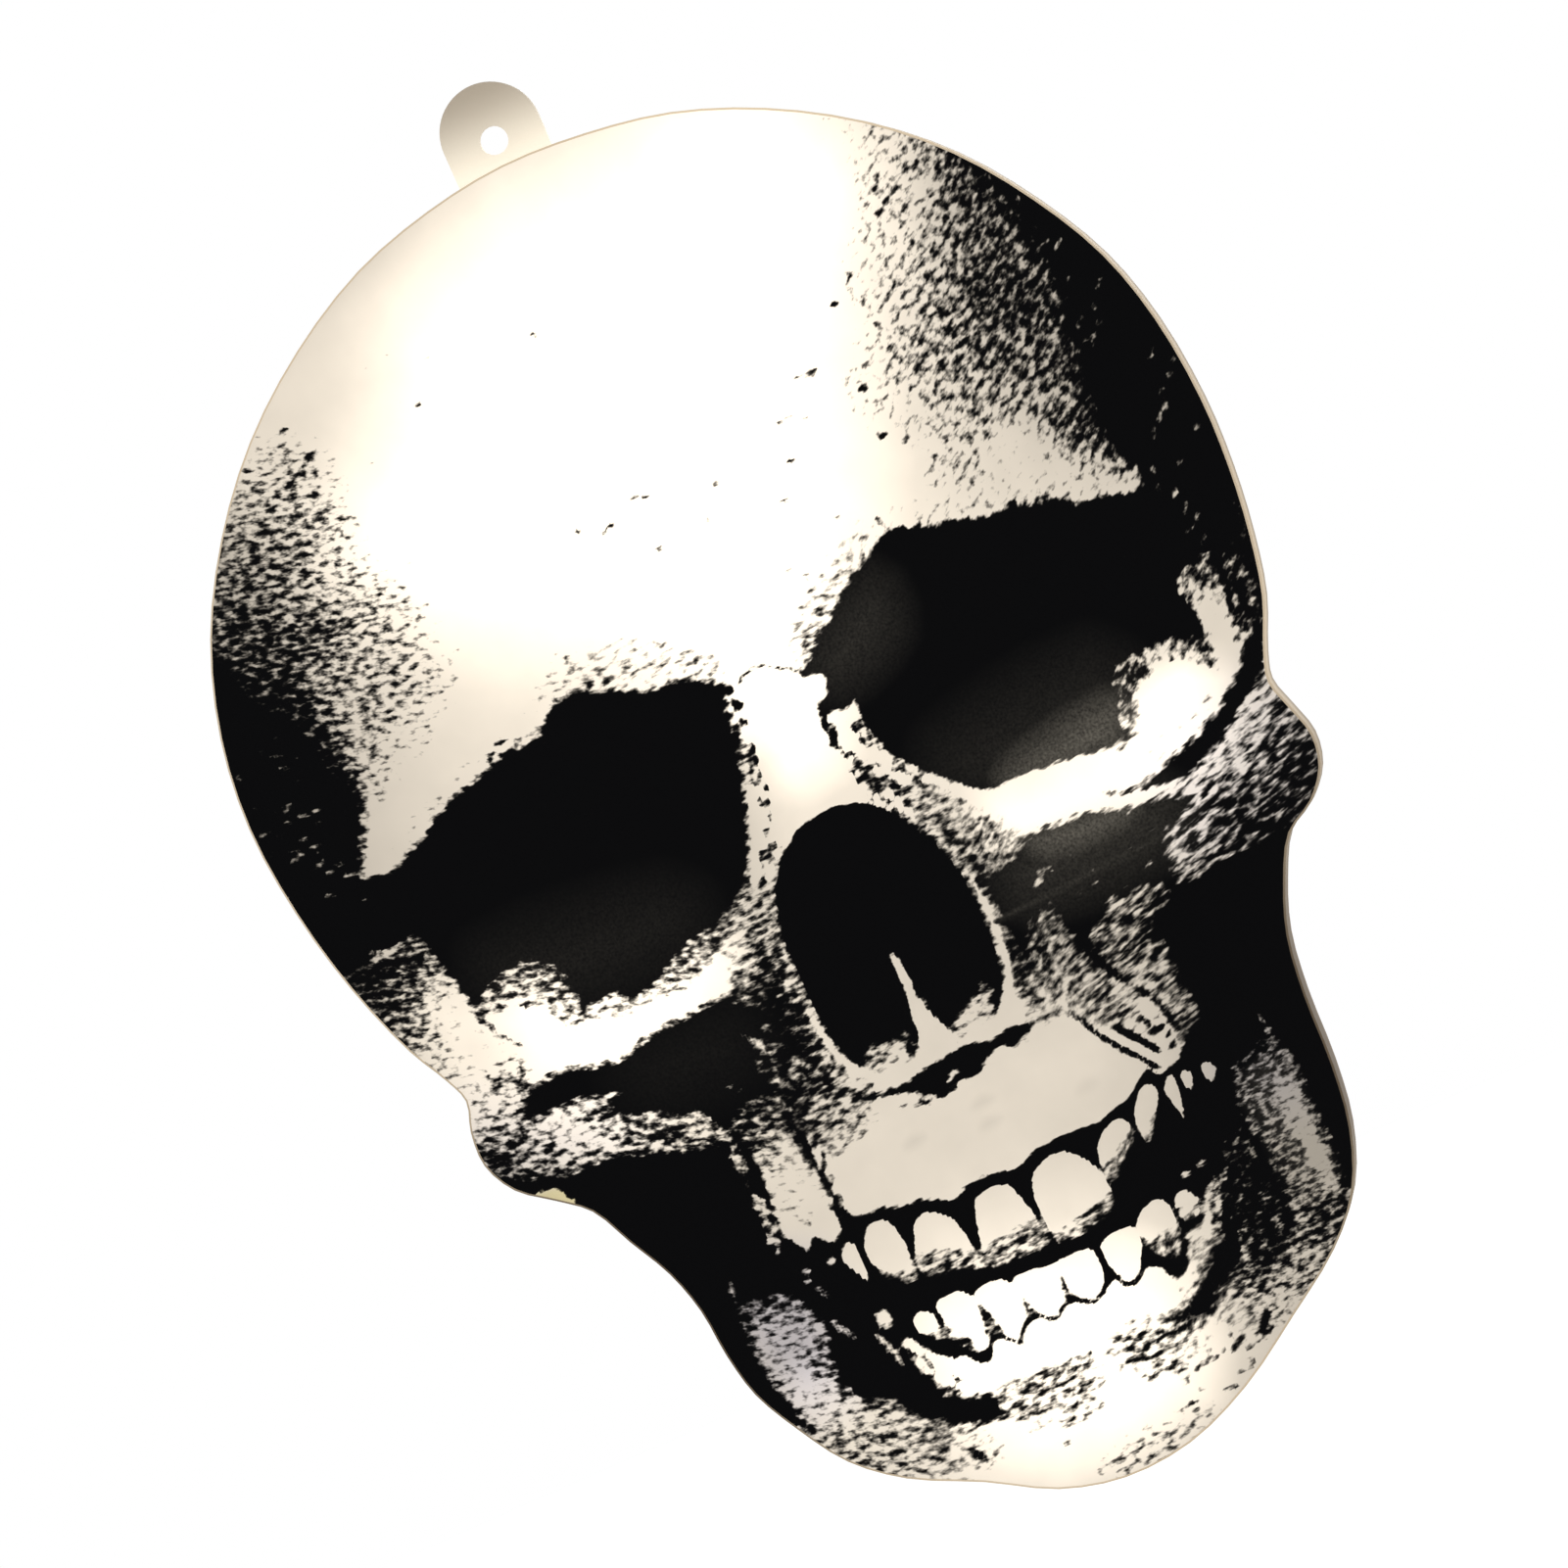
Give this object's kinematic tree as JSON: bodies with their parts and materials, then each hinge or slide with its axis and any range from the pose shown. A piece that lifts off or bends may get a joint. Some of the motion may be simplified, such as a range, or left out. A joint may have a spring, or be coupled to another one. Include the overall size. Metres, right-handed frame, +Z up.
{
  "type": "hanging skull light",
  "caption": "Flat skull-shaped battery light box with a printed face, lamps inside, a rear battery door, a slide switch and a tab to hang it by.",
  "frame": {"origin": "centre of the hang hole, in the middle of the rear cover's thickness", "axes": "+Z up when hung, the printed face looks along -Y, the flat back looks along +Y, +X to the viewer's right"},
  "size_m": [0.143, 0.0183, 0.2105],
  "materials": {
    "front_plastic": "moulded, milky",
    "face_print": "printed film, lit from behind",
    "rear_plastic": "moulded, frosted",
    "door_plastic": "moulded, frosted",
    "box_plastic": "moulded",
    "cell_jacket": "shrunk film over steel",
    "contact_steel": "nickel plated",
    "switch_plastic": "moulded",
    "board_green": "solder mask",
    "board_white": "white solder mask",
    "chip_black": "moulded epoxy",
    "resistor_tan": "lacquer",
    "capacitor_sleeve": "shrunk sleeve",
    "lamp_epoxy": "cast epoxy, lit",
    "wire_white": "extruded",
    "wire_red": "extruded",
    "wire_black": "extruded",
    "screw_steel": "zinc plated"
  },
  "bodies": {
    "case": {"front_cover": "front_plastic", "printed_face": "face_print", "rear_cover": "rear_plastic", "battery_box": "box_plastic", "battery_cell_1": "cell_jacket", "battery_cell_2": "cell_jacket", "battery_cell_3": "cell_jacket", "contact_spring_1": "contact_steel", "contact_spring_2": "contact_steel", "contact_spring_3": "contact_steel", "contact_plate_1": "contact_steel", "contact_plate_2": "contact_steel", "contact_plate_3": "contact_steel", "contact_plate_4": "contact_steel", "switch_body": "switch_plastic", "control_board": "board_green", "timer_chip": "chip_black", "resistor": "resistor_tan", "capacitor": "capacitor_sleeve", "led_board_1": "board_white", "led_board_2": "board_white", "led_board_3": "board_white", "led_board_4": "board_white", "led_board_5": "board_white", "led_board_6": "board_white", "led_board_7": "board_white", "led_board_8": "board_white", "led_lamp_1": "lamp_epoxy", "led_lamp_2": "lamp_epoxy", "led_lamp_3": "lamp_epoxy", "led_lamp_4": "lamp_epoxy", "led_lamp_5": "lamp_epoxy", "led_lamp_6": "lamp_epoxy", "led_lamp_7": "lamp_epoxy", "led_lamp_8": "lamp_epoxy", "led_wire_1": "wire_white", "led_wire_2": "wire_white", "led_wire_3": "wire_white", "led_wire_4": "wire_white", "led_wire_5": "wire_white", "led_wire_6": "wire_white", "led_wire_7": "wire_white", "led_wire_8": "wire_white", "feed_wire_red": "wire_red", "feed_wire_switch": "wire_red", "feed_wire_black": "wire_black", "case_screw_1": "screw_steel", "case_screw_2": "screw_steel", "case_screw_3": "screw_steel", "case_screw_4": "screw_steel", "case_screw_5": "screw_steel", "case_screw_6": "screw_steel", "box_screw_1": "screw_steel", "box_screw_2": "screw_steel"},
    "door": {"battery_door": "door_plastic", "door_screw": "screw_steel"},
    "slider": {"switch_slider": "switch_plastic"}
  },
  "joints": [
    {"name": "battery_door_hinge", "type": "hinge", "parent": "case", "child": "door", "pos_m": [0.00372, 0.0009, -0.15704], "axis": [-1, 0, 0], "range_deg": [0, 90]},
    {"name": "switch_slide", "type": "slide", "parent": "case", "child": "slider", "axis": [0, 0, 1], "range_m": [0, 0.004]}
  ]
}
